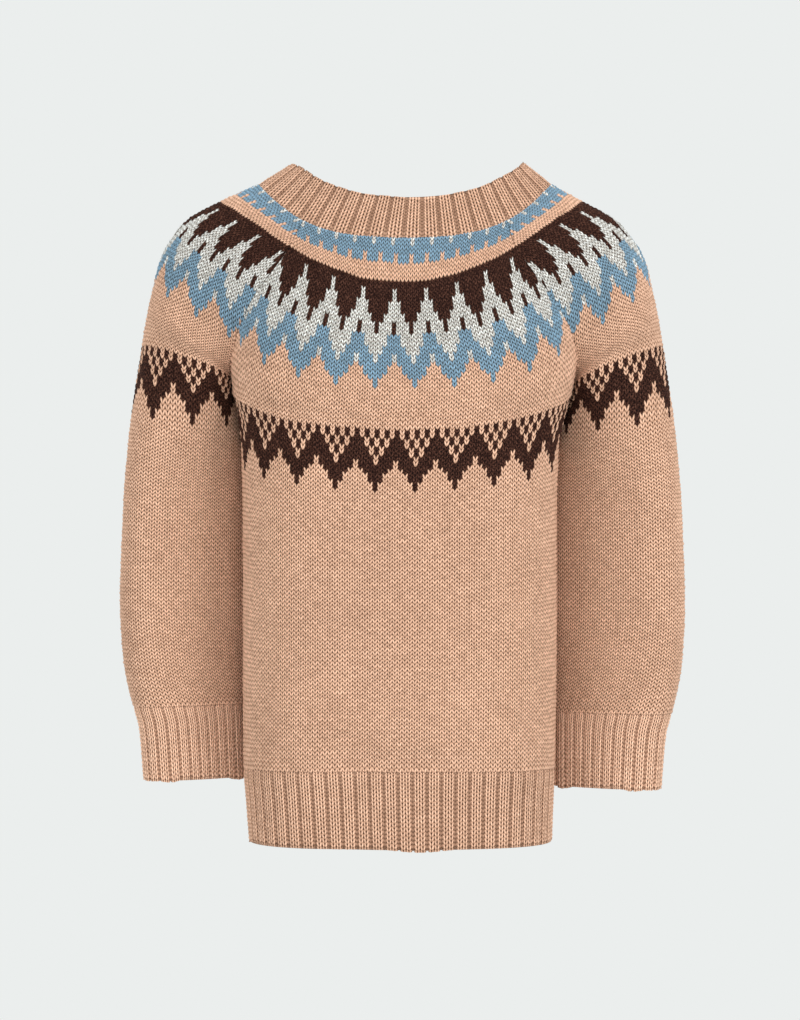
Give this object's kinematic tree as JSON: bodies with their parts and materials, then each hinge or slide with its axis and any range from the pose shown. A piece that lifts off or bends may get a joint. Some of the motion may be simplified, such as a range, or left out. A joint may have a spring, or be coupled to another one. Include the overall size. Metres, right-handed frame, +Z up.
{
  "type": "sweater",
  "caption": "Child's raglan pullover in the worn form, open and hollow at neck, hem and cuffs, with ribbed bands and a round patterned yoke.",
  "frame": {"origin": "middle of the neck opening at shoulder height, where the wearer's shoulders hold the sweater up", "axes": "+Z up the wearer, the front faces -Y, +X to the right as the picture is seen"},
  "size_m": [0.3738, 0.1202, 0.4483],
  "materials": {
    "panel_yarn": "plied wool, stocking stitch, soft sheen",
    "sleeve_yarn": "plied wool, stocking stitch, soft sheen",
    "rib_yarn": "plied wool, two by two rib, soft sheen"
  },
  "bodies": {
    "root": {"front": "panel_yarn", "back": "panel_yarn", "sleeve_left": "sleeve_yarn", "sleeve_right": "sleeve_yarn", "neckband": "rib_yarn", "hem": "rib_yarn", "cuff_left": "rib_yarn", "cuff_right": "rib_yarn"}
  },
  "joints": []
}
